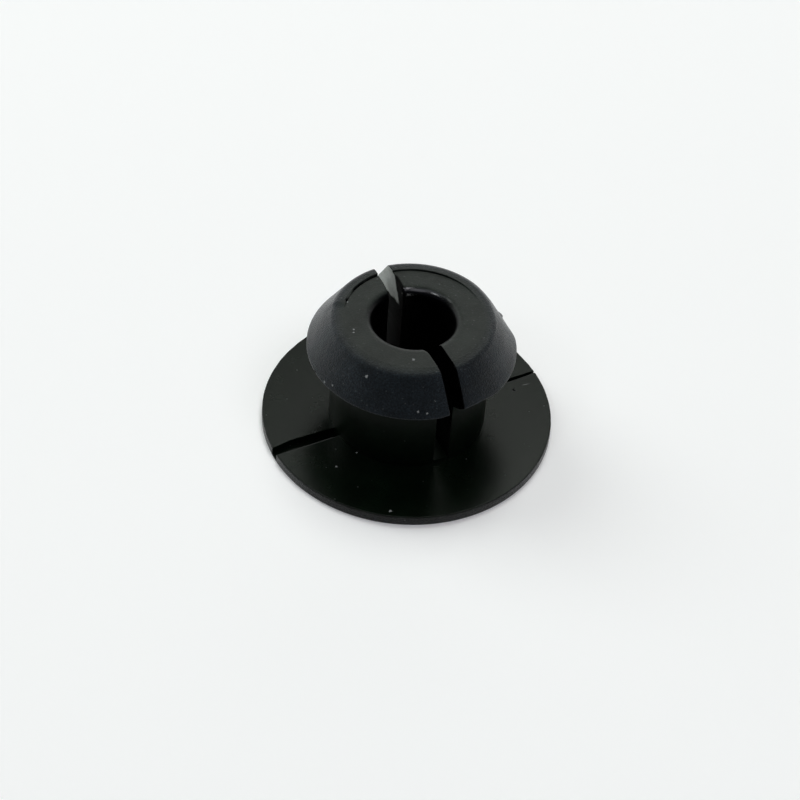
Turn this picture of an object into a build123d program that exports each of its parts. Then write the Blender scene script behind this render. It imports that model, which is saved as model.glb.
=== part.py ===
from build123d import *
import os

# A push-in rubber plug for a round hole in a frame. A thin flange covers the hole, a neck fills it,
# and a barbed head, split into two jaws, squeezes through the hole and springs out behind it.
# The origin is the centre of the flange's outer face, and +Z runs up through the head. Millimetres.

# Flange: the disc that is left showing once the plug is in
flange_diameter = 30.0
flange_thickness = 1.1
flange_edge_radius = 0.25

# Neck: its length is the thickness of frame that the plug grips
neck_diameter = 16.1
neck_length = 7.6

# Barb: the underside slopes up and out from the neck to a thin rim
barb_overhang = 2.5
underside_rise = 1.65
rim_land = 0.15

# Outer cone: it leads the head through the hole, from a rounded shoulder down to the rim
cone_height = 3.75
cone_inset = 2.55
shoulder_radius = 0.8

# Raised ring round the flat top
ring_width = 1.05
ring_height = 0.15

# Blind bore, which lets the jaws fold inwards
bore_diameter = 8.2
bore_lead_in_radius = 0.9

# Slot across the head and neck, along Y
slot_width = 1.6

# Solid web that the bore and the slot both leave above the flange's inner face
web_above_flange = 0.5

# Drain groove across the flange's inner face, along X, with the skin left under it
groove_width = 0.8
groove_skin = 0.25

# How far a cutter runs out past the face that it opens
cutter_overrun = 1.0

# Stations worked out from the sizes above
flange_radius = flange_diameter / 2
neck_radius = neck_diameter / 2
rim_radius = neck_radius + barb_overhang
head_top_radius = rim_radius - cone_inset
ring_inner_radius = head_top_radius - ring_width
bore_radius = bore_diameter / 2

neck_top = flange_thickness + neck_length
rim_bottom = neck_top + underside_rise
rim_top = rim_bottom + rim_land
head_top = rim_top + cone_height
face_top = head_top - ring_height
cavity_floor = flange_thickness + web_above_flange


def half_section():
    """Half of the plug's section through its axis: distance from the axis, then height."""
    flange_lower_edge = (flange_radius, 0)
    flange_upper_edge = (flange_radius, flange_thickness)
    shoulder = (head_top_radius, head_top)
    bore_mouth = (bore_radius, face_top)
    outline = Polyline(
        (0, 0),
        flange_lower_edge,
        flange_upper_edge,
        (neck_radius, flange_thickness),
        (neck_radius, neck_top),
        (rim_radius, rim_bottom),
        (rim_radius, rim_top),
        shoulder,
        (ring_inner_radius, head_top),
        (ring_inner_radius, face_top),
        bore_mouth,
        (bore_radius, cavity_floor),
        (0, cavity_floor),
        close=True,
    )
    section = make_face(outline)
    for corner, radius in (
        (flange_lower_edge, flange_edge_radius),
        (flange_upper_edge, flange_edge_radius),
        (shoulder, shoulder_radius),
        (bore_mouth, bore_lead_in_radius),
    ):
        section = round_corner(section, corner, radius)
    return section


def round_corner(section, corner, radius):
    """The section with the vertex nearest to a corner point rounded."""
    vertex = section.vertices().sort_by_distance(corner)[0]
    return fillet(vertex, radius)


def moulded_form():
    """The whole plug as turned about its axis, before it is split and grooved."""
    return revolve(Plane.XZ * half_section(), axis=Axis.Z)


def jaw_slot():
    """The slot that splits the head and neck, open at the top and at both ends."""
    length = 2 * (rim_radius + cutter_overrun)
    height = head_top + cutter_overrun - cavity_floor
    blade = Box(slot_width, length, height, align=(Align.CENTER, Align.CENTER, Align.MIN))
    return Pos(0, 0, cavity_floor) * blade


def drain_groove():
    """The groove from the neck out to the flange's edge, on both sides."""
    length = 2 * (flange_radius + cutter_overrun)
    height = flange_thickness + cutter_overrun - groove_skin
    bar = Box(length, groove_width, height, align=(Align.CENTER, Align.CENTER, Align.MIN))
    neck = Cylinder(neck_radius, height, align=(Align.CENTER, Align.CENTER, Align.MIN))
    return Pos(0, 0, groove_skin) * (bar - neck)


frame_plug = moulded_form() - jaw_slot() - drain_groove()
frame_plug.label = "frame_plug"

os.makedirs("parts", exist_ok=True)
export_step(frame_plug, "parts/frame_plug.step")
print("frame_plug", round(frame_plug.volume, 1), "mm3", frame_plug.bounding_box().size)
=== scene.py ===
import bpy
import bmesh
import math
from mathutils import Matrix, Vector, noise


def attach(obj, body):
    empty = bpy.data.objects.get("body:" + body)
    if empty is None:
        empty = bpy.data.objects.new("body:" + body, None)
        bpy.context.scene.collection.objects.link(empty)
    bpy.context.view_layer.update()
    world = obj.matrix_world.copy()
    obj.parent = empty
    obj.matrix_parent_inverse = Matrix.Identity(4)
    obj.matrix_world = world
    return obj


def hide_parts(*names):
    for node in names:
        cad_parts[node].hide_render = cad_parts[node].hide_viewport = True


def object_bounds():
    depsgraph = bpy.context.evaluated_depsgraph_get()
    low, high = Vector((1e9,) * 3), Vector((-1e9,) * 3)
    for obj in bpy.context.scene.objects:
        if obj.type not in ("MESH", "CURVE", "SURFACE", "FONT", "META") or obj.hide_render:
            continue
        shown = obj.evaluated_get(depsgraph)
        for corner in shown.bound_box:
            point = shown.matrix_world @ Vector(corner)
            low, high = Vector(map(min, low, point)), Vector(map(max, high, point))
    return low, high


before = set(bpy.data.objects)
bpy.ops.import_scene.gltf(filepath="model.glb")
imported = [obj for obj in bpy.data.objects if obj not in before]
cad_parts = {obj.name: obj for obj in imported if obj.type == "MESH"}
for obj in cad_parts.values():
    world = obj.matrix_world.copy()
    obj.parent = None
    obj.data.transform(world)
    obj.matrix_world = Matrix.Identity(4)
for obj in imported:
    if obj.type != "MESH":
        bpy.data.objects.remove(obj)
cadLow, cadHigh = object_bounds()
mm = 0.001
touching = 0.001  # points closer than this are the same point, while modelling in millimetres
level = 0.01  # and edges this close to a height or to the rim lie on it
print("frame loaded")


# small helpers
def deselectAll():
    if bpy.context.mode != "OBJECT":
        bpy.ops.object.mode_set(mode="OBJECT")
    bpy.ops.object.select_all(action="DESELECT")


def startPiece(name):  # the primitive that was just added becomes a named piece, in edit mode
    piece = bpy.context.object
    piece.name = name
    piece.data.name = name
    bpy.ops.object.mode_set(mode="EDIT")
    bpy.ops.mesh.select_mode(type="VERT")
    bpy.ops.mesh.select_all(action="DESELECT")
    return piece


def pick(piece, kind, test):  # edit mode: selects the vertices, edges or faces that pass the test
    mode = {"verts": "VERT", "edges": "EDGE", "faces": "FACE"}[kind]
    bpy.ops.mesh.select_mode(type=mode)
    bpy.ops.mesh.select_all(action="DESELECT")
    shape = bmesh.from_edit_mesh(piece.data)
    for part in getattr(shape, kind):
        part.select_set(test(part))
    shape.select_flush_mode()
    bmesh.update_edit_mesh(piece.data)


def applyModifier(piece, kind, **settings):
    deselectAll()
    bpy.context.view_layer.objects.active = piece
    piece.select_set(True)
    modifier = piece.modifiers.new(kind.title(), kind)
    for setting, value in settings.items():
        setattr(modifier, setting, value)
    bpy.ops.object.modifier_apply(modifier=modifier.name)


def midpoint(edge):
    return (edge.verts[0].co + edge.verts[1].co) / 2


# flange, with its groove
flange = {
    "radius": (cadHigh.x - cadLow.x) / 2 / mm,
    "thickness": 1.1,
    "sides": 288,
    "skin": 0.26,  # left under the groove
    "farLipLeft": 0.52, "farLipRight": 0.05,  # the groove narrows from left to right
    "nearLipLeft": -0.82, "nearLipRight": -0.21,
    "lipCuts": 70,
    "lipBends": [  # where a lip runs out askew: far lip or near, from this x to the rim, how far
        (True, -12.4, -0.34),
        (True, 12.6, 0.09),
        (False, 12.2, 0.13),
    ],
    "bendNear": 0.7, "bendFar": 2.4,  # distances from the middle over which that dies out
    "swellAzimuth": 38, "swellSpread": 33, "swell": 0.19,  # the rim isn't quite round
    "wander": 0.035, "wanderSize": 0.9,  # uneven moulding line round the rim
    "rimBand": 1.0,  # width of the band that swells
    "edgeRound": 0.16, "edgeSegments": 4,
    "farLipRound": 0.4, "nearLipRound": 1.0, "cornerRound": 0.4,  # shares of edgeRound
}


def makeFlange():
    f = flange
    deselectAll()
    bpy.ops.mesh.primitive_circle_add(vertices=f["sides"], radius=f["radius"], fill_type="NGON")
    piece = startPiece("flange")

    lips = []  # the four corners where the groove meets the rim
    for lip, side in (("farLipRight", 1), ("farLipLeft", -1), ("nearLipRight", 1), ("nearLipLeft", -1)):
        lips.append(Vector((side * math.sqrt(f["radius"] ** 2 - f[lip] ** 2), f[lip], 0)))
    shape = bmesh.from_edit_mesh(piece.data)
    for corner in lips:  # the nearest rim vertex is moved onto each corner
        min(shape.verts, key=lambda v: (v.co - corner).length).co = corner
    bmesh.update_edit_mesh(piece.data)

    bpy.ops.mesh.select_all(action="SELECT")
    bpy.ops.mesh.extrude_region_move(TRANSFORM_OT_translate={"value": (0, 0, f["skin"])})
    for pair in (lips[:2], lips[2:]):  # both lips are drawn across the skin's top
        pick(piece, "verts", lambda v: v.co.z > f["skin"] / 2
             and min((v.co.xy - corner.xy).length for corner in pair) < touching)
        bpy.ops.mesh.vert_connect()
    pick(piece, "edges", lambda e: midpoint(e).z > f["skin"] / 2
         and midpoint(e).xy.length < f["radius"] / 2)
    bpy.ops.mesh.subdivide(number_cuts=f["lipCuts"])
    pick(piece, "faces", lambda p: p.normal.z > 0.5 and p.calc_center_median().z > f["skin"] / 2
         and abs(p.calc_center_median().y) > 1)  # the two halves, without the strip between the lips
    bpy.ops.mesh.extrude_region_move(
        TRANSFORM_OT_translate={"value": (0, 0, f["thickness"] - f["skin"])})
    bpy.ops.mesh.select_all(action="SELECT")
    bpy.ops.mesh.normals_make_consistent(inside=False)

    def atRim(edge):
        points = (midpoint(edge), *(v.co for v in edge.verts))
        return all(point.xy.length > f["radius"] - level for point in points)

    def atHeight(edge, height):
        return all(abs(v.co.z - height) < level for v in edge.verts)

    def weighEdges(test, weight):
        pick(piece, "edges", test)
        bpy.ops.transform.edge_bevelweight(value=weight)

    top = f["thickness"]
    weighEdges(lambda e: atRim(e) and (atHeight(e, 0) or atHeight(e, top)), 1)
    weighEdges(lambda e: not atRim(e) and atHeight(e, top) and midpoint(e).y > 0, f["farLipRound"])
    weighEdges(lambda e: not atRim(e) and atHeight(e, top) and midpoint(e).y < 0, f["nearLipRound"])
    weighEdges(lambda e: abs(midpoint(e).z - (top + f["skin"]) / 2) < level
               and min((midpoint(e).xy - corner.xy).length for corner in lips) < level, f["cornerRound"])
    applyModifier(piece, "BEVEL", width=f["edgeRound"], segments=f["edgeSegments"], limit_method="WEIGHT",
                  use_clamp_overlap=False)
    bendFlange(piece)
    return piece


def bendFlange(piece):
    f = flange
    for v in piece.data.vertices:
        x, y, z = v.co
        along = (x / f["radius"] + 1) / 2
        middle = (f["farLipLeft"] + f["nearLipLeft"]) / 2 * (1 - along) + (
            f["farLipRight"] + f["nearLipRight"]) / 2 * along
        for far, start, shift in f["lipBends"]:
            if (y > middle) == far and x * start > 0:
                y += shift * easeIn(abs(x), abs(start), f["radius"]) * (
                    1 - easeIn(abs(y), f["bendNear"], f["bendFar"]))
        flat = Vector((x, y))
        if flat.length > f["radius"] - f["rimBand"]:
            azimuth = math.degrees(math.atan2(y, x))
            swell = f["swell"] * bump(azimuth - f["swellAzimuth"], f["swellSpread"])
            uneven = noise.noise(Vector((x, y, z * 0.5)) / f["wanderSize"])
            if z > f["thickness"] / 2:
                swell += f["wander"] * (uneven - 1) / 2
                z += 0.6 * f["wander"] * uneven if z < f["thickness"] - 0.001 else 0
            flat *= 1 + swell / f["radius"]
        v.co = (flat.x, flat.y, z)


# jaws: the neck and the barbed head, in two halves
jaw = {
    "foot": 0.12,  # both jaws run down into the flange
    "neckRadius": 8.05,
    "neckTop": 8.7,
    "rimRadius": 10.55,
    "rimBottom": 10.35,
    "rimTop": 10.5,
    "shoulderRadius": 8.08,
    "shoulderDrop": 0.08,  # the ring falls away a little towards the shoulder
    "top": cadHigh.z / mm,
    "ringInner": 6.95, "ringEdge": 0.02,  # the step up to the ring leans out this far
    "ringDrop": 0.15,
    "creaseWidth": 0.14,
    "boreRadius": 4.1,
    "neckRound": 0.2,
    "rimRound": 0.04,
    "shoulderRound": 0.65,
    "ringRound": 0.06,
    "leadIn": 0.9,
    "columns": 128,
    "slotHalf": 0.8,
    "backWalls": {-1: 0.65, 1: 0.88},  # the cut through the head runs a little to the right at the back
    "backFrom": 9, "backTo": 12,  # it leaves the neck's line between these heights
    "backEase": 2,  # and over this distance from the bore
    "endRound": 0.07,  # edges of the slot
    "boreEndRound": 0.42,  # the left jaw's soft corner between bore and slot, at the front
    "boreEndNear": 0.3, "boreEndFar": 1.3,
    "faceEndRound": 0.34,  # and the right jaw's worn one along the flat face, at the back
    "faceEndLow": 12.6, "faceEndHigh": 13.6, "faceEndRadius": 6.1, "faceEndMargin": 0.2,
    "endColumns": 4,
}


def jawCorners():  # distance from the axis, height, round, its segments, cuts on the stretch that follows
    j = jaw
    faceTop = j["top"] - j["ringDrop"]
    return [
        (j["neckRadius"], j["foot"], 0, 0, 6),
        (j["neckRadius"], j["neckTop"], j["neckRound"], 3, 3),
        (j["rimRadius"], j["rimBottom"], j["rimRound"], 2, 0),
        (j["rimRadius"], j["rimTop"], j["rimRound"], 2, 9),
        (j["shoulderRadius"], j["top"] - j["shoulderDrop"], j["shoulderRound"], 8, 3),
        (j["ringInner"] + j["ringEdge"], j["top"], j["ringRound"], 2, 0),
        (j["ringInner"], faceTop, 0, 0, 0),
        (j["ringInner"] - j["creaseWidth"], faceTop, 0, 0, 5),
        (j["boreRadius"], faceTop, j["leadIn"], 9, 8),
        (j["boreRadius"], j["foot"], 0, 0, 2),
    ]


def drawJawProfile(corners):  # a closed outline in the slot's own plane, at the front of the head
    deselectAll()
    bpy.ops.mesh.primitive_plane_add(size=1)
    piece = startPiece("jaw")
    bpy.ops.mesh.select_all(action="SELECT")
    bpy.ops.mesh.merge(type="CENTER")
    here = Vector((0, 0, 0))
    for index, corner in enumerate(corners):
        point = Vector((0, -corner[0], corner[1]))
        if index == 0:
            bpy.ops.transform.translate(value=point)
        else:
            bpy.ops.mesh.extrude_vertices_move(TRANSFORM_OT_translate={"value": point - here})
        here = point
    ends = [Vector((0, -corners[k][0], corners[k][1])) for k in (0, -1)]
    pick(piece, "verts", lambda v: min((v.co - end).length for end in ends) < touching)
    bpy.ops.mesh.edge_face_add()
    for index, (radius, height, cornerRound, segments, cuts) in enumerate(corners):
        if not cornerRound:
            continue
        here = Vector((0, -radius, height))
        before, after = corners[index - 1], corners[(index + 1) % len(corners)]
        angle = (Vector((0, -before[0], before[1])) - here).angle(Vector((0, -after[0], after[1])) - here)
        pick(piece, "verts", lambda v: (v.co - here).length < touching)
        bpy.ops.mesh.bevel(offset=cornerRound / math.tan(angle / 2), offset_type="OFFSET",
                           segments=segments, affect="VERTICES", clamp_overlap=False)
    for index, (radius, height, cornerRound, segments, cuts) in enumerate(corners):
        if not cuts:
            continue
        after = corners[(index + 1) % len(corners)]
        after = Vector((0, -after[0], after[1]))
        here = Vector((0, -radius, height))
        along = (after - here).normalized()
        pick(piece, "edges", lambda e: all(
            (v.co - here).cross(along).length < touching for v in e.verts))
        bpy.ops.mesh.subdivide(number_cuts=cuts)
    return piece


def profileNormals(piece):  # for each point of the outline: the way out of the rubber, in its own plane
    shape = bmesh.from_edit_mesh(piece.data)
    shape.verts.ensure_lookup_table()
    loop, last = [shape.verts[0]], None
    while len(loop) < len(shape.verts):
        links = [e for e in loop[-1].link_edges if e is not last]
        last = links[0]
        loop.append(last.other_vert(loop[-1]))
    points = [Vector((-v.co.y, v.co.z)) for v in loop]
    area = sum(a.cross(b) for a, b in zip(points, points[1:] + points[:1]))
    if area < 0:
        points.reverse()
    outward = {}
    for index, point in enumerate(points):
        before = (point - points[index - 1]).normalized()
        after = (points[(index + 1) % len(points)] - point).normalized()
        mitre = Vector((before.y + after.y, -before.x - after.x))
        mitre = mitre.normalized() / max(0.5, mitre.length / 2)
        outward[profileKey(point.x, point.y)] = mitre
    return outward


def profileKey(radius, height):
    return round(radius * 200), round(height * 200)


def easeIn(value, low, high):  # 0 below low, 1 above high, smooth in between
    share = min(1, max(0, (value - low) / (high - low)))
    return share * share * (3 - 2 * share)


def endRound(radius, height, side, end):  # how far the slot's edge is rounded at this point of the outline
    j = jaw
    if (side, end) == (-1, 1):
        worn = j["boreEndRound"]
        share = 1 - easeIn(radius, j["boreRadius"] + j["boreEndNear"], j["boreRadius"] + j["boreEndFar"])
    elif (side, end) == (1, 1):
        worn = j["faceEndRound"]
        share = easeIn(height, j["faceEndLow"], j["faceEndHigh"]) * (
            1 - easeIn(radius, j["faceEndRadius"], j["ringInner"] - j["faceEndMargin"]))
    else:
        return j["endRound"]
    return j["endRound"] + (worn - j["endRound"]) * share


def slotWall(radius, height, side, end):  # distance of the slot's wall from the middle plane
    j = jaw
    if end != side:  # this end lies at the front
        return j["slotHalf"]
    atBack = easeIn(height, j["backFrom"], j["backTo"]) * easeIn(
        radius, j["boreRadius"], j["boreRadius"] + j["backEase"])
    return j["slotHalf"] + (j["backWalls"][side] - j["slotHalf"]) * atBack


def seatJaw(piece, outward, side):  # columns are moved so that the ends lie on the slot's walls
    j = jaw
    k, n = j["endColumns"], j["columns"]
    for v in piece.data.vertices:
        radius = v.co.xy.length
        column = round((math.atan2(v.co.y, v.co.x) / math.pi + 0.5) * n)
        end = -1 if column < n / 2 else 1
        step = min(column, n - column)
        height = v.co.z
        rounding = endRound(radius, height, side, end)
        if step <= k:
            turn = step / k * math.pi / 2
            wall = slotWall(radius, height, side, end) + rounding * (1 - math.cos(turn))
            inset = outward[profileKey(radius, height)] * rounding * (1 - math.sin(turn))
            radius, height = radius - inset.x, height - inset.y
            across = math.asin(wall / radius)
        else:
            first = math.asin((slotWall(radius, height, side, end) + rounding) / radius)
            across = first + (math.pi / 2 - first) * (step - k) / (n / 2 - k)
        v.co = (side * radius * math.sin(across), side * end * radius * math.cos(across), height)


wear = {
    "sideAzimuth": 1, "sideSpread": 21, "sideDepth": 0.33,  # flat spot on the right jaw's rim
    "swellAzimuth": 26, "swellSpread": 46, "swellDepth": 0.17,  # and above it the cone stands proud
    "bellyFoot": 10.6, "bellyLow": 13.2, "bellyHigh": 13.4,  # heights of that swelling
    "nubAzimuth": 2, "nubSpread": 1.6, "nubHeight": 0.2,  # a shred of rubber on that rim
    "frontAzimuth": -81, "frontSpread": 20, "frontDepth": 0.30,  # rim drawn up beside the slot
    "frontReach": 1.2, "frontIn": 0.5, "frontUp": 0.75,  # its reach, and shares of that depth
    "droopAzimuth": -118, "droopSpread": 85, "droopDepth": 0.09,  # shoulder worn down at the front
    "droopRadius": 8.2,
    "shoulderLow": 12.4, "shoulderHigh": 14.0,  # heights between which the shoulder gives way
    "creaseFrom": 96, "creaseTo": 140,  # deep stretch of the crease
    "creaseStart": (-6, 0), "creaseEnd": (-2, 1),  # degrees about those, where it comes and goes
    "creaseDepth": 0.26, "creaseOpen": 0.15,
    "creaseRight": 0.4, "creaseFade": 15, "creaseFull": 60,  # share of that depth on the right jaw
    "stepFrom": 8, "stepEase": 22, "stepEnd": (1, 6),  # the ring stands up only at the back
    "stepLeft": 0.01, "flushBand": 0.2,  # elsewhere its inner edge lies flush with the flat face
    "ringBand": (-0.02, 0.1), "ringDepth": 0.4,  # what belongs to that edge
    "ringOut": 0.07, "ringShift": 0.075, "ringAzimuth": -20,  # its inner edge isn't quite centred
    "wobbleTurns": 7, "wobble": 0.01, "wobbleDeep": 0.04,  # nor quite round, least so at the deep stretch
}


def bump(distance, spread):
    return 1 - easeIn(abs(distance), 0.25 * spread, spread)


def wearJaw(piece):  # the faults of this moulding
    w, j = wear, jaw
    for v in piece.data.vertices:
        radius, azimuth = v.co.xy.length, math.degrees(math.atan2(v.co.y, v.co.x))
        height = v.co.z
        if height > j["neckTop"] and radius > j["shoulderRadius"] - 0.5:
            if height > j["rimTop"]:
                nearRim = 1 - (height - j["rimTop"]) / (j["top"] - j["rimTop"])
                closeRim = 1 - easeIn(height, j["rimTop"], j["rimTop"] + w["frontReach"])
            else:
                nearRim = (radius - j["neckRadius"]) / (j["rimRadius"] - j["neckRadius"])
                closeRim = easeIn(radius, j["rimRadius"] - w["frontReach"], j["rimRadius"])
            radius -= w["sideDepth"] * bump(azimuth - w["sideAzimuth"], w["sideSpread"]) * nearRim
            belly = easeIn(height, w["bellyFoot"], w["bellyLow"]) * (
                1 - easeIn(height, w["bellyHigh"], j["top"]))
            radius += w["swellDepth"] * bump(azimuth - w["swellAzimuth"], w["swellSpread"]) * belly
            if height > j["rimBottom"] - 0.1 and nearRim > 0.9:
                radius += w["nubHeight"] * bump(azimuth - w["nubAzimuth"], w["nubSpread"])
            drawn = w["frontDepth"] * bump(azimuth - w["frontAzimuth"], w["frontSpread"]) * closeRim
            radius -= w["frontIn"] * drawn
            height += w["frontUp"] * drawn
        if height > w["shoulderLow"] and radius > j["ringInner"]:
            worn = easeIn(radius, j["ringInner"], w["droopRadius"]) * easeIn(
                height, w["shoulderLow"], w["shoulderHigh"])
            height -= w["droopDepth"] * bump(azimuth - w["droopAzimuth"], w["droopSpread"]) * worn
        if height > w["shoulderLow"] and radius > j["ringInner"] + level:
            step = easeIn(azimuth, w["stepFrom"] - w["stepEase"], w["stepFrom"] + w["stepEase"]) * (
                1 - easeIn(azimuth, *(w["creaseTo"] + offset for offset in w["stepEnd"])))
            height -= (j["ringDrop"] - w["stepLeft"]) * (1 - step) * easeIn(
                height, w["shoulderLow"], w["shoulderHigh"])
            if radius < j["ringInner"] + w["flushBand"]:
                height = max(height, j["top"] - j["ringDrop"])
        low, high = (j["ringInner"] + offset for offset in w["ringBand"])
        if low < radius < high and height > j["top"] - w["ringDepth"]:
            turn = math.radians(azimuth)
            wobble = noise.noise(Vector((
                w["wobbleTurns"] * math.cos(turn), w["wobbleTurns"] * math.sin(turn), 3)))
            deep = easeIn(azimuth, *(w["creaseFrom"] + offset for offset in w["creaseStart"])) * (
                1 - easeIn(azimuth, *(w["creaseTo"] + offset for offset in w["creaseEnd"])))
            radius += w["ringOut"] + w["ringShift"] * math.cos(turn - math.radians(w["ringAzimuth"])) + (
                w["wobble"] + w["wobbleDeep"] * deep) * wobble
            if radius > j["ringInner"] + j["ringEdge"]:
                radius += w["creaseOpen"] * deep
            if height < j["top"] - j["ringDrop"] + level:
                if 0 < azimuth < 90:
                    deep = w["creaseRight"] * easeIn(azimuth, w["creaseFade"], w["creaseFull"])
                height -= w["creaseDepth"] * deep * (1 + 0.5 * wobble)
        flat = v.co.xy.normalized()
        v.co = (flat.x * radius, flat.y * radius, height)


def makeJaw(name, side):
    piece = drawJawProfile(jawCorners())
    piece.name = name
    outward = profileNormals(piece)
    bpy.ops.mesh.select_all(action="SELECT")
    bpy.ops.mesh.spin(steps=jaw["columns"], angle=math.pi, center=(0, 0, 0), axis=(0, 0, -1))
    for end in (-1, 1):
        pick(piece, "edges", lambda e: all(abs(v.co.x) < touching and v.co.y * end > 0 for v in e.verts))
        bpy.ops.mesh.edge_face_add()
    bpy.ops.mesh.select_all(action="SELECT")
    bpy.ops.mesh.normals_make_consistent(inside=False)
    deselectAll()
    seatJaw(piece, outward, side)
    wearJaw(piece)
    bpy.context.view_layer.objects.active = piece
    bpy.ops.object.mode_set(mode="EDIT")
    pick(piece, "faces", lambda p: len(p.verts) > 4)  # the slot's walls aren't quite flat
    bpy.ops.mesh.quads_convert_to_tris()
    deselectAll()
    return piece


# web: the floor of the bore and the slot
web = {"radius": 8.0, "top": 1.6, "sides": 192}


def makeWeb():
    deselectAll()
    depth = web["top"] - jaw["foot"]
    bpy.ops.mesh.primitive_cylinder_add(vertices=web["sides"], radius=web["radius"], depth=depth,
                                        location=(0, 0, web["top"] - depth / 2))
    piece = bpy.context.object
    piece.name = "web"
    bpy.ops.object.transform_apply(location=True, rotation=True, scale=True)
    return piece


# the plug: all of it in one skin
skin = {"weld": 0.002, "smoothAngle": 32, "faceWeight": 50}


def joinPlug(base, others):
    for other in others:
        applyModifier(base, "BOOLEAN", operation="UNION", solver="EXACT", object=other)
        bpy.data.objects.remove(other, do_unlink=True)
    base.name = base.data.name = "plug"
    deselectAll()
    bpy.context.view_layer.objects.active = base
    base.select_set(True)
    bpy.ops.object.mode_set(mode="EDIT")
    bpy.ops.mesh.select_all(action="SELECT")
    bpy.ops.mesh.remove_doubles(threshold=skin["weld"])
    bpy.ops.mesh.normals_make_consistent(inside=False)
    bpy.ops.object.mode_set(mode="OBJECT")
    base.scale = (mm, mm, mm)  # modelled in millimetres, finished in metres
    bpy.ops.object.transform_apply(location=False, rotation=False, scale=True)
    return base


plug = joinPlug(makeFlange(), [makeWeb(), makeJaw("jawRight", 1), makeJaw("jawLeft", -1)])
bpy.ops.object.shade_smooth_by_angle(angle=math.radians(skin["smoothAngle"]))
applyModifier(plug, "WEIGHTED_NORMAL", keep_sharp=True, weight=skin["faceWeight"])
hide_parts("frame_plug")
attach(plug, "root")
print("plug", len(plug.data.vertices))


# rubber
finish = {
    "flangeBlack": (0.0013, 0.0050, 0.0018),
    "faceBlack": (0.0201, 0.0246, 0.0213),  # flat top of the head
    # the cone's bluish tint is painted light: the blue of the light from the sides
    "coneBlack": (0.0095, 0.0130, 0.0165),
    "boreBlack": (0.0010, 0.0010, 0.0012),
    "wallFloorReflection": (0.0130, 0.0140, 0.0133),  # painted reflection: the flange's rim is painted paler, for the white floor it reflects
    "slotReflectionGrey": (0.72, 0.755, 0.72),  # painted reflection of the white floor on the cut, at the back of the head
    "dustGrey": (0.24, 0.25, 0.25),
    # painted shade: the crease's deep floor and the pits are painted near black
    "holeShadeBlack": (0.0008, 0.0008, 0.0010),
    "specular": 0.5,
    "tint": (0.15, 0.155, 0.15),  # black rubber throws back little light head on
    "flangeRoughness": 0.26,
    "neckRoughness": 0.38,
    "coneRoughness": 0.295,
    "faceRoughness": 0.42,
    "leadInRoughness": 0.27,
    "cutRoughness": 0.115,  # the slot was cut, not moulded
    "cutDullRoughness": 0.95,  # but less cleanly at the back and at its foot
    "slotReflectionRoughness": 0.5,
    "dustRoughness": 0.8,
    "pitRoughness": 1.0,
    "polishAzimuth": 52,  # the mouth of the bore is polished on this side
    "coatRoughness": 0.2,
    "coatIor": 1.9,
    "grainSize": 0.16,
    "grainDepth": 0.08,
    "dimpleSize": 1.1,
    # heights in the relief, as shares of the grain's
    "toothHeight": 0.4, "dimpleHeight": 0.6, "dustHeight": 0.5, "pitHeight": -1.5,
    # shares of the grain that are missing there
    "faceSmooth": 0.7, "lowSmooth": 0.9, "cutSmooth": 0.9, "boreSmooth": 0.9, "lowDimplesSmooth": 0.97,
    # where one finish fades into the next: heights and distances from the axis
    "headHeights": (8.5, 9.2),
    "neckHeights": (1.15, 1.6),
    "lowHeights": (8.3, 8.9),
    "boreRadii": (4.35, 4.6),
    "boreHeights": (1.6, 2.5),
    "polishRadii": (4.45, 4.7),
    "polishReach": (3.2, 3.9),
    "creaseRadii": (6.7, 6.8, 7.12, 7.22),
    "dullHeights": (4.0, 7.0),
    # the painted reflection's two edges: height plus this slope times y, and the band it fades over
    "reflectionFoot": (0.2, 12.25, 12.65),
    "reflectionSide": (-1.75, 2.5, 3.2),
}

sprinkles = {  # cells in a millimetre, the channel that chooses some and its band, core and edge, strength
    "bits": (1.1, 0, (0.72, 0.85), (0.06, 0.13), 0.16),
    "specks": (2.6, 1, (0.55, 0.95), (0.08, 0.28), 0.12),
}

dust = [  # bits of dust and lint on the surface: place and radius
    ((-7.3, -4.9, 13.05), 0.17),
    ((-2.0, -9.3, 11.84), 0.15),
    ((-3.8, -9.4, 11.1), 0.13),
    ((-3.0, -9.8, 10.9), 0.12),
    ((-10.3, -1.8, 10.6), 0.14),
    ((-9.9, -2.8, 10.9), 0.12),
    ((-5.7, -4.8, 14.2), 0.12),
    ((-7.0, -2.8, 14.2), 0.12),
    ((5.2, -5.2, 14.2), 0.13),
    ((7.7, -2.1, 14.1), 0.13),
    ((-6.26, 0.62, 14.1), 0.12),
    ((-6.43, 0.23, 14.1), 0.10),
    ((-5.21, 4.53, 14.1), 0.12),
    ((-2.58, -5.43, 14.1), 0.16),
    ((-9.99, -4.64, 1.1), 0.13),
    ((-7.34, -3.63, 1.1), 0.12),
    ((-7.46, -12.13, 1.1), 0.17),
]

pits = [  # small pits, painted near black as the shade in them: place and radius
    ((11.66, -1.66, 1.1), 0.20),
    ((-10.55, 0.0, 10.45), 0.16),
]

scratches = [  # pale scuffs and hairs: place, half length, half width, turn about the vertical in degrees
    ((13.17, -1.38, 1.1), 0.55, 0.07, -8),
    ((-8.9, -4.6, 10.95), 0.75, 0.05, -60),
]


def newMaterial(name):
    material = bpy.data.materials.new(name)
    material.use_nodes = True
    material.node_tree.nodes.clear()
    return material, material.node_tree


def place(tree, kind, **values):  # a node, with its sockets set to numbers or linked to other outputs
    node = tree.nodes.new("ShaderNode" + kind)
    for name, value in values.items():
        if name[0].islower():
            setattr(node, name, value)
            continue
        socket = node.inputs[int(name[1:])] if name[1:].isdigit() else node.inputs[name]
        if isinstance(value, bpy.types.NodeSocket):
            tree.links.new(value, socket)
        else:
            socket.default_value = value
    return node


def reckon(tree, operation, first, second=0.0, third=0.0):
    return place(tree, "Math", operation=operation, N0=first, N1=second, N2=third).outputs[0]


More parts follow.
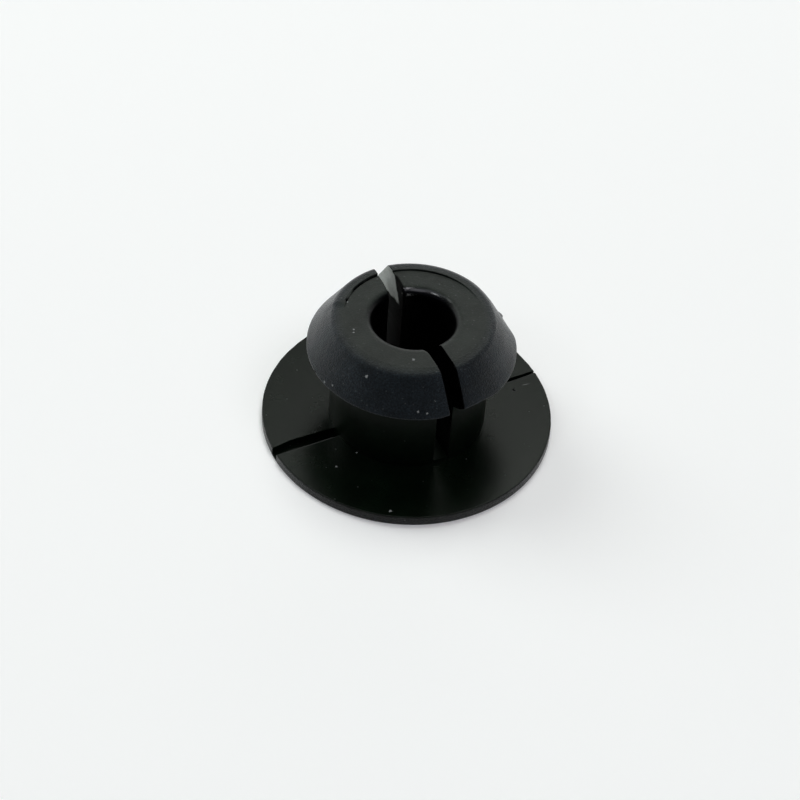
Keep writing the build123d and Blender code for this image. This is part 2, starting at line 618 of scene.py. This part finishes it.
def fade(tree, value, low, high, lowValue=0.0, highValue=1.0):  # smooth step between two values
    return place(tree, "MapRange", interpolation_type="SMOOTHSTEP", N0=value, N1=low, N2=high,
                 N3=lowValue, N4=highValue).outputs[0]


def blendColour(tree, share, below, above):
    def asColour(value):
        return value if isinstance(value, bpy.types.NodeSocket) else (*value, 1)
    node = place(tree, "Mix", data_type="RGBA", N0=share)
    for index, value in ((6, asColour(below)), (7, asColour(above))):
        if isinstance(value, bpy.types.NodeSocket):
            tree.links.new(value, node.inputs[index])
        else:
            node.inputs[index].default_value = value
    return node.outputs[2]


def makeBlackRubber():
    f = finish
    material, tree = newMaterial("blackRubber")
    where = place(tree, "TexCoord").outputs["Object"]
    axes = place(tree, "SeparateXYZ", Vector=where).outputs
    across = reckon(tree, "SQRT", reckon(tree, "ADD", reckon(tree, "MULTIPLY", axes["X"], axes["X"]),
                                         reckon(tree, "MULTIPLY", axes["Y"], axes["Y"])))
    radius, height = reckon(tree, "DIVIDE", across, mm), reckon(tree, "DIVIDE", axes["Z"], mm)

    # where each finish lies
    head = fade(tree, height, *f["headHeights"])
    faceTop = jaw["top"] - jaw["ringDrop"]
    topFace = reckon(tree, "MULTIPLY", fade(tree, height, faceTop - 0.35, faceTop - 0.1),
                     fade(tree, radius, jaw["ringInner"] - 0.2, jaw["shoulderRadius"] + 0.2, 1, 0))
    bore = reckon(tree, "MULTIPLY", fade(tree, radius, *f["boreRadii"], 1, 0),
                  fade(tree, height, *f["boreHeights"]))
    turn = math.radians(f["polishAzimuth"])
    aside = place(tree, "VectorMath", operation="DOT_PRODUCT", N0=where,
                  N1=(math.cos(turn) / mm, math.sin(turn) / mm, 0)).outputs["Value"]
    leadIn = reckon(tree, "MULTIPLY", fade(tree, radius, *f["polishRadii"], 1, 0),
                    fade(tree, aside, *f["polishReach"]))
    leadIn = reckon(tree, "MULTIPLY", leadIn, fade(tree, height, faceTop - 1.0, faceTop - 0.7))
    cut = place(tree, "Attribute", attribute_name="cutFace").outputs["Fac"]
    onCut = fade(tree, cut, 0.2, 0.4)
    low = fade(tree, height, *f["lowHeights"], 1, 0)
    wall = fade(tree, radius, flange["radius"] - 0.13, flange["radius"] - 0.05)

    # moulded grain, wide dimples and a cloudy bloom
    grain = place(tree, "TexNoise", Vector=where, Scale=1 / (f["grainSize"] * mm), Detail=2.5,
                  Roughness=0.65).outputs["Fac"]
    tooth = place(tree, "TexNoise", Vector=where, Scale=2.7 / (f["grainSize"] * mm),
                  Detail=1.0).outputs["Fac"]
    dimples = place(tree, "TexNoise", Vector=where, Scale=1 / (f["dimpleSize"] * mm), Detail=3.0,
                    Roughness=0.55).outputs["Fac"]
    bloom = place(tree, "TexNoise", Vector=where, Scale=0.35 / mm, Detail=4.0, Roughness=0.6).outputs["Fac"]

    # painted reflection: the white floor, seen through the slot's open back end, is painted pale on the
    # slot's wall at the back, to a point at the bore
    uneven = reckon(tree, "MULTIPLY_ADD", dimples, 1.0, reckon(tree, "SUBTRACT", height, 0.5))
    slotReflection = fade(tree, cut, 0.7, 0.9)
    for edge, (inside, outside) in (("reflectionFoot", (0, 1)), ("reflectionSide", (1, 0))):
        slope, start, end = f[edge]
        along = reckon(tree, "MULTIPLY_ADD", axes["Y"], slope / mm, uneven)
        slotReflection = reckon(tree, "MULTIPLY", slotReflection, fade(tree, along, start, end, inside, outside))

    def without(mask, share):  # the grain is fainter there
        return reckon(tree, "MULTIPLY_ADD", mask, -share, 1.0)

    coarse = reckon(tree, "MULTIPLY", without(topFace, f["faceSmooth"]), without(low, f["lowSmooth"]))
    coarse = reckon(tree, "MULTIPLY", coarse, without(cut, f["cutSmooth"]))
    coarse = reckon(tree, "MULTIPLY_ADD", coarse, without(bore, f["boreSmooth"]), wall)

    # loose dust: a thin sprinkle all over, finer specks on the moulded head, and the larger bits
    def sprinkle(density, channel, chosen, reach, strength):
        cells = place(tree, "TexVoronoi", Vector=where, Scale=density / mm).outputs
        lot = place(tree, "SeparateColor", Color=cells["Color"]).outputs[channel]
        return reckon(tree, "MULTIPLY", fade(tree, lot, *chosen),
                      fade(tree, cells["Distance"], *reach, strength, 0.0))

    fine = reckon(tree, "MULTIPLY", sprinkle(*sprinkles["specks"]), head)
    bits = reckon(tree, "MAXIMUM", sprinkle(*sprinkles["bits"]), fine)

    def nearby(spot, size):  # 1 at this spot, 0 beyond its size
        apart = place(tree, "VectorMath", operation="DISTANCE", N0=where, N1=tuple(c * mm for c in spot))
        ragged = reckon(tree, "MULTIPLY_ADD", grain, 2.4 * size * mm, apart.outputs["Value"])
        return fade(tree, ragged, 1.6 * size * mm, 2.3 * size * mm, 1.0, 0.0)

    for spot, size in dust:
        bits = reckon(tree, "MAXIMUM", bits, nearby(spot, size))
    for spot, length, width, turn in scratches:
        turned = place(tree, "Mapping", vector_type="TEXTURE", Vector=where,
                       Location=tuple(c * mm for c in spot), Rotation=(0, 0, math.radians(turn)),
                       Scale=(length / width, 1, 1)).outputs["Vector"]
        apart = place(tree, "VectorMath", operation="LENGTH", N0=turned).outputs["Value"]
        bits = reckon(tree, "MAXIMUM", bits, fade(tree, apart, 0.3 * width * mm, width * mm, 0.35, 0.0))
    bits = reckon(tree, "MULTIPLY", bits, without(reckon(tree, "MAXIMUM", bore, onCut), 1.0))
    # painted shade: the deep part of the crease round the flat face, and the pits, are painted near black
    crease = reckon(tree, "MULTIPLY", fade(tree, radius, *f["creaseRadii"][:2]),
                    fade(tree, radius, *f["creaseRadii"][2:], 1, 0))
    crease = reckon(tree, "MULTIPLY", crease, fade(tree, height, faceTop - 0.7, faceTop - 0.6))
    crease = reckon(tree, "MULTIPLY", crease, without(onCut, 1.0))
    shadeInHoles = reckon(tree, "MULTIPLY", crease, fade(tree, height, faceTop - 0.1, faceTop - 0.03, 1, 0))
    for spot, size in pits:
        shadeInHoles = reckon(tree, "MAXIMUM", shadeInHoles, nearby(spot, size))

    colour = blendColour(tree, head, f["flangeBlack"], f["coneBlack"])
    colour = blendColour(tree, topFace, colour, f["faceBlack"])
    # painted reflection of the floor on the flange's rim
    colour = blendColour(tree, wall, colour, f["wallFloorReflection"])
    colour = blendColour(tree, reckon(tree, "MAXIMUM", bore, onCut), colour, f["boreBlack"])
    # painted reflection of the floor on the slot's wall
    colour = blendColour(tree, slotReflection, colour, f["slotReflectionGrey"])
    mottle = reckon(tree, "MULTIPLY_ADD", fade(tree, bloom, 0.3, 0.7), 0.5, 0.75)
    speckle = reckon(tree, "MULTIPLY", fade(tree, grain, 0.35, 0.7), coarse)
    speckle = reckon(tree, "MULTIPLY_ADD", speckle, 0.9, 0.6)
    shade = reckon(tree, "MULTIPLY", mottle, speckle)
    colour = place(tree, "VectorMath", operation="SCALE", N0=colour, N3=shade).outputs["Vector"]
    colour = blendColour(tree, bits, colour, f["dustGrey"])
    # painted shade in the crease and the pits
    colour = blendColour(tree, shadeInHoles, colour, f["holeShadeBlack"])

    def layer(share, below, above):
        return place(tree, "Mix", data_type="FLOAT", N0=share, N2=below, N3=above).outputs[0]

    rough = layer(fade(tree, height, *f["neckHeights"]), f["flangeRoughness"], f["neckRoughness"])
    rough = layer(head, rough, f["coneRoughness"])
    rough = layer(topFace, rough, f["faceRoughness"])
    rough = layer(leadIn, rough, f["leadInRoughness"])
    rough = reckon(tree, "ADD", rough, reckon(tree, "MULTIPLY_ADD", bloom, 0.10, -0.05))
    dull = reckon(tree, "MAXIMUM", fade(tree, height, *f["dullHeights"], 1, 0),
                  fade(tree, axes["Y"], -mm, mm))
    rough = layer(onCut, rough, layer(dull, f["cutRoughness"], f["cutDullRoughness"]))
    rough = layer(slotReflection, rough, f["slotReflectionRoughness"])
    rough = layer(bits, rough, f["dustRoughness"])
    rough = layer(shadeInHoles, rough, f["pitRoughness"])

    relief = reckon(tree, "MULTIPLY", reckon(tree, "MULTIPLY_ADD", tooth, f["toothHeight"], grain), coarse)
    wide = reckon(tree, "MULTIPLY", dimples, without(low, f["lowDimplesSmooth"]))
    for mask, rise in ((wide, "dimpleHeight"), (bits, "dustHeight"), (shadeInHoles, "pitHeight")):
        relief = reckon(tree, "MULTIPLY_ADD", mask, f[rise], relief)
    bumps = place(tree, "Bump", Strength=1.0, Distance=f["grainDepth"] * mm, Height=relief)

    shader = place(tree, "BsdfPrincipled")
    shader.inputs["Specular IOR Level"].default_value = f["specular"]
    shader.inputs["Specular Tint"].default_value = (*f["tint"], 1)
    shader.inputs["Coat Roughness"].default_value = f["coatRoughness"]
    shader.inputs["Coat IOR"].default_value = f["coatIor"]
    tree.links.new(leadIn, shader.inputs["Coat Weight"])
    tree.links.new(colour, shader.inputs["Base Color"])
    tree.links.new(rough, shader.inputs["Roughness"])
    tree.links.new(bumps.outputs["Normal"], shader.inputs["Normal"])
    place(tree, "OutputMaterial", Surface=shader.outputs["BSDF"])
    return material


cutFace = {"reach": 1.3, "boreRadius": 4.0, "facingEdge": 0.4, "facingWall": 0.97, "wall": 1.0, "edge": 0.5}


def markCutFaces(piece):  # faces of the slot's walls and of their rounded edges
    c = cutFace
    cut = piece.data.attributes.new("cutFace", "FLOAT", "FACE")
    for face in piece.data.polygons:
        x, y, z = face.center / mm
        facing = abs(face.normal.x)
        inSlot = (abs(x) < c["reach"] and facing > c["facingEdge"] and z > web["top"]
                  and math.hypot(x, y) > c["boreRadius"])
        mark = c["wall"] if facing > c["facingWall"] else c["edge"]
        cut.data[face.index].value = mark if inSlot else 0.0


markCutFaces(plug)
plug.data.materials.clear()
plug.data.materials.append(makeBlackRubber())
print("rubber")


# table, light and camera
studio = {
    "floorRadius": 3.0,
    "floorColour": (0.93, 0.93, 0.93),
    "floorLift": 0.10,  # the paper looks this much whiter to the camera than it is lit
    "backdrop": (0.97, 0.97, 0.97),
    "room": (0.009, 0.010, 0.015),
    "behind": 62,  # azimuth of the backdrop, which gloss on the plug shows too
    "behindFade": (-0.1, 0.6), "paperTop": (0.25, 0.6),  # and its soft edges, on a unit sphere
    "lampDistance": 1.2,
    "lampSize": 0.72,
}


def makeFloor():
    deselectAll()
    bpy.ops.mesh.primitive_circle_add(vertices=96, radius=studio["floorRadius"], fill_type="NGON")
    floor = bpy.context.object
    floor.name = "floor"
    material, tree = newMaterial("floorPaper")
    paper = place(tree, "BsdfDiffuse", Color=(*studio["floorColour"], 1))
    lift = place(tree, "Emission", Color=(1, 1, 1, 1), Strength=studio["floorLift"])
    path = place(tree, "LightPath").outputs
    seen = reckon(tree, "MAXIMUM", path["Is Camera Ray"], path["Is Glossy Ray"])
    seen = reckon(tree, "MAXIMUM", seen, path["Is Transmission Ray"])
    glow = place(tree, "MixShader", N0=seen, N2=lift.outputs[0])
    both = place(tree, "AddShader", N0=paper.outputs[0], N1=glow.outputs[0])
    place(tree, "OutputMaterial", Surface=both.outputs[0])
    floor.data.materials.append(material)
    return floor


lamps = {  # softboxes round the table: azimuth from +X, elevation, watts, share of the full size, colour
    "backRightWindow": (45, 14, 0.6, 1, (0.97, 1.0, 1.0)),
    "backWindow": (66, 14, 0.66, 1, (1.0, 1.0, 1.0)),
    "backLeftWindow": (135, 14, 1.1, 1, (0.92, 1.0, 1.0)),
    "backWall": (118, 38, 4.9, 1, (0.96, 1.0, 0.97)),
    "leftWall": (189, 46, 0.6, 0.35, (0.95, 0.97, 1.0)),
    "frontWall": (235, 48, 0.8, 1, (0.93, 0.93, 1.0)),
    "ceilingBack": (55, 62, 6.5, 1, (0.97, 1.0, 0.95)),
    "ceilingLeft": (180, 62, 0.4, 1, (0.9, 0.97, 1.0)),
    "ceilingRight": (300, 62, 3.4, 1, (0.97, 0.95, 1.0)),
}


def makeLamps():
    for name, (azimuth, elevation, power, share, colour) in lamps.items():
        a, e = math.radians(azimuth), math.radians(elevation)
        away = Vector((math.cos(a) * math.cos(e), math.sin(a) * math.cos(e), math.sin(e)))
        lamp = bpy.data.lights.new(name, "AREA")
        lamp.shape = "DISK"
        lamp.size = studio["lampSize"] * share
        lamp.energy = power
        lamp.color = colour
        box = bpy.data.objects.new(name, lamp)
        box.location = away * studio["lampDistance"]
        box.rotation_euler = away.to_track_quat("Z", "Y").to_euler()
        box.visible_camera = False
        bpy.context.collection.objects.link(box)


def makeWorld():
    world = bpy.data.worlds.new("studio")
    bpy.context.scene.world = world
    world.use_nodes = True
    tree = world.node_tree
    tree.nodes.clear()
    room = place(tree, "Background", Color=(*studio["room"], 1), Strength=1)
    seen = place(tree, "Background", Color=(*studio["backdrop"], 1), Strength=1)
    path = place(tree, "LightPath").outputs
    turn = math.radians(studio["behind"])
    towards = place(tree, "TexCoord").outputs["Generated"]
    behind = place(tree, "VectorMath", operation="DOT_PRODUCT", N0=towards,
                   N1=(math.cos(turn), math.sin(turn), 0)).outputs["Value"]
    height = place(tree, "SeparateXYZ", Vector=towards).outputs["Z"]
    paper = reckon(tree, "MULTIPLY", fade(tree, behind, *studio["behindFade"]),
                   fade(tree, height, *studio["paperTop"], 1, 0))
    mirrored = reckon(tree, "MAXIMUM", path["Is Glossy Ray"], path["Is Transmission Ray"])
    mirrored = reckon(tree, "MULTIPLY", mirrored, paper)
    share = reckon(tree, "MAXIMUM", path["Is Camera Ray"], mirrored)
    mix = place(tree, "MixShader", N0=share, N1=room.outputs[0], N2=seen.outputs[0])
    place(tree, "OutputWorld", Surface=mix.outputs[0])


view = {
    "azimuth": -27.81,
    "elevation": 45.10,
    "roll": 4.08,
    "distance": 0.2088,
    "aside": (0.657 * mm, -1.745 * mm),  # the plug stands a little off centre
    "lens": 90.36,
    "sensor": 36,
    "clipStart": 0.01,
}


def makeCamera():
    a, e = math.radians(view["azimuth"]), math.radians(view["elevation"])
    turn = (Matrix.Rotation(a, 3, "Z") @ Matrix.Rotation(math.pi / 2 - e, 3, "X")
            @ Matrix.Rotation(math.radians(view["roll"]), 3, "Z"))
    back = turn @ Vector((0, 0, 1))
    camera = bpy.data.cameras.new("camera")
    camera.lens = view["lens"]
    camera.sensor_width = view["sensor"]
    camera.clip_start = view["clipStart"]
    holder = bpy.data.objects.new("camera", camera)
    holder.matrix_world = Matrix.Translation(
        back * view["distance"] - turn @ Vector((*view["aside"], 0))) @ turn.to_4x4()
    bpy.context.collection.objects.link(holder)
    bpy.context.scene.camera = holder


makeFloor()
makeLamps()
makeWorld()
makeCamera()
bpy.context.scene.view_settings.view_transform = "Standard"
print("stage, light and camera")
